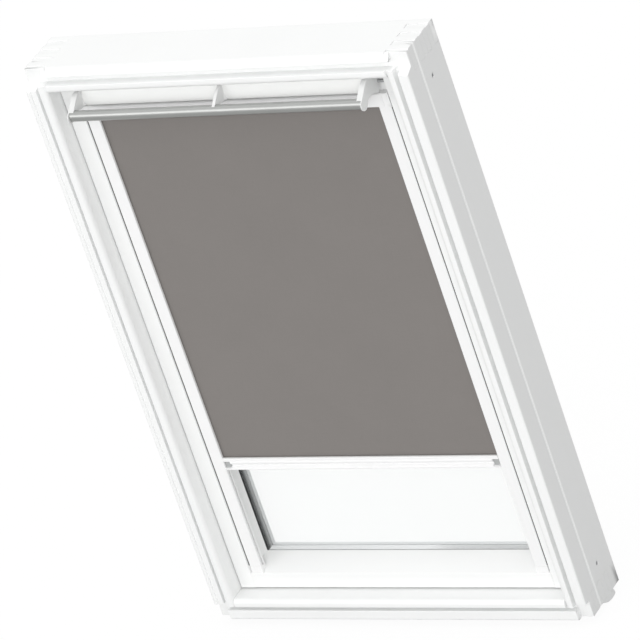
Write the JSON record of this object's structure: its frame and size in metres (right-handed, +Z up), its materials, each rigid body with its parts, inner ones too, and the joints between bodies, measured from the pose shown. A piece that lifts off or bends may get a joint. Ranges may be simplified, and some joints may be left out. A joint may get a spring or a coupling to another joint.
{
  "type": "skylight window with roller blind",
  "caption": "Centre-pivot roof window in white timber with double glazing, a top ventilation flap with a grip bar, and a fitted blackout roller blind in side rails.",
  "frame": {"origin": "middle of the sill's underside, halfway through the frame's depth", "axes": "+X to the right seen from the room, +Y out through the roof, +Z up the roof's slope from sill to head"},
  "size_m": [0.78, 0.1684, 1.1938],
  "materials": {
    "frame_white": "white lacquer, satin",
    "sash_white": "white lacquer, satin",
    "white_plastic": "white, satin",
    "blind_white": "white, satin",
    "rail_white": "white powder coat",
    "bar_aluminium": "anodised, satin",
    "roller_aluminium": "mill finish",
    "stop_aluminium": "mill finish",
    "spacer": "bright, with dark sealant at its upright sides",
    "bead_aluminium": "bright drawn",
    "cover_grey": "grey lacquer, matt",
    "steel": "zinc plated",
    "rubber": "matt black",
    "glass": "clear",
    "blackout_fabric": "dark warm grey, matt weave",
    "filter_foam": "open foam",
    "grey_plastic": "matt"
  },
  "bodies": {
    "frame": {"frame_head": "frame_white", "frame_sill": "frame_white", "frame_jamb_left": "frame_white", "frame_jamb_right": "frame_white", "head_stop": "stop_aluminium", "head_stop_seal": "rubber", "frame_cover_left": "cover_grey", "frame_cover_right": "cover_grey", "frame_cover_top": "cover_grey", "frame_cover_bottom": "cover_grey", "pivot_frame_plate_left": "steel", "pivot_frame_plate_right": "steel", "striker_plate": "steel", "bolt_bush": "grey_plastic"},
    "sash": {"sash_stile_left": "sash_white", "sash_stile_right": "sash_white", "sash_rail_bottom": "sash_white", "sash_rail_top": "sash_white", "glass_pane_inner": "glass", "glass_pane_outer": "glass", "glass_spacer": "spacer", "glazing_gasket": "rubber", "glazing_bead_left": "bead_aluminium", "glazing_bead_right": "bead_aluminium", "glazing_bead_top": "bead_aluminium", "glazing_bead_bottom": "bead_aluminium", "sash_seal_left": "rubber", "sash_seal_right": "rubber", "sash_seal_top": "rubber", "sash_seal_bottom": "rubber", "pivot_sash_plate_left": "steel", "pivot_sash_plate_right": "steel", "lock_case": "steel", "bolt_housing": "white_plastic", "vent_filter": "filter_foam", "flap_pin_left": "steel", "flap_pin_right": "steel", "blind_cassette": "blind_white", "cassette_cap_left": "blind_white", "cassette_cap_right": "blind_white", "blind_rail_left": "rail_white", "blind_rail_right": "rail_white", "blind_rail_cap_left": "blind_white", "blind_rail_cap_right": "blind_white"},
    "flap": {"vent_flap": "white_plastic", "handle_bracket_left": "white_plastic", "handle_bracket_middle": "white_plastic", "handle_bracket_right": "white_plastic", "handle_bar": "bar_aluminium"},
    "roller": {"roller_tube": "roller_aluminium", "fabric_roll": "blackout_fabric", "roller_plug_left": "grey_plastic", "roller_plug_right": "grey_plastic"},
    "blind": {"blind_bar": "blind_white", "bar_glider_left": "grey_plastic", "bar_glider_right": "grey_plastic", "blind_fabric": "blackout_fabric"},
    "bolt": {"barrel_bolt": "steel"}
  },
  "joints": [
    {"name": "sash_pivot", "type": "hinge", "parent": "frame", "child": "sash", "pos_m": [0, 0.014, 0.59], "axis": [1, 0, 0], "range_deg": [0, 160]},
    {"name": "flap_hinge", "type": "hinge", "parent": "sash", "child": "flap", "pos_m": [0, -0.0205, 1.11], "axis": [1, 0, 0], "range_deg": [0, 25]},
    {"name": "blind_slide", "type": "slide", "parent": "sash", "child": "blind", "axis": [0, 0, 1], "range_m": [-0.2245, 0.724], "deforming": ["blind_fabric"]},
    {"name": "roller_spin", "type": "hinge", "parent": "sash", "child": "roller", "pos_m": [0, -0.008, 1.073], "axis": [-1, 0, 0], "range_deg": [-1343, 4325]},
    {"name": "bolt_slide", "type": "slide", "parent": "sash", "child": "bolt", "axis": [0, 0, 1], "range_m": [0, 0.009]}
  ],
  "couplings": [
    {"joint": "roller_spin", "follows": "blind_slide", "rad_per_m": 104.17}
  ]
}
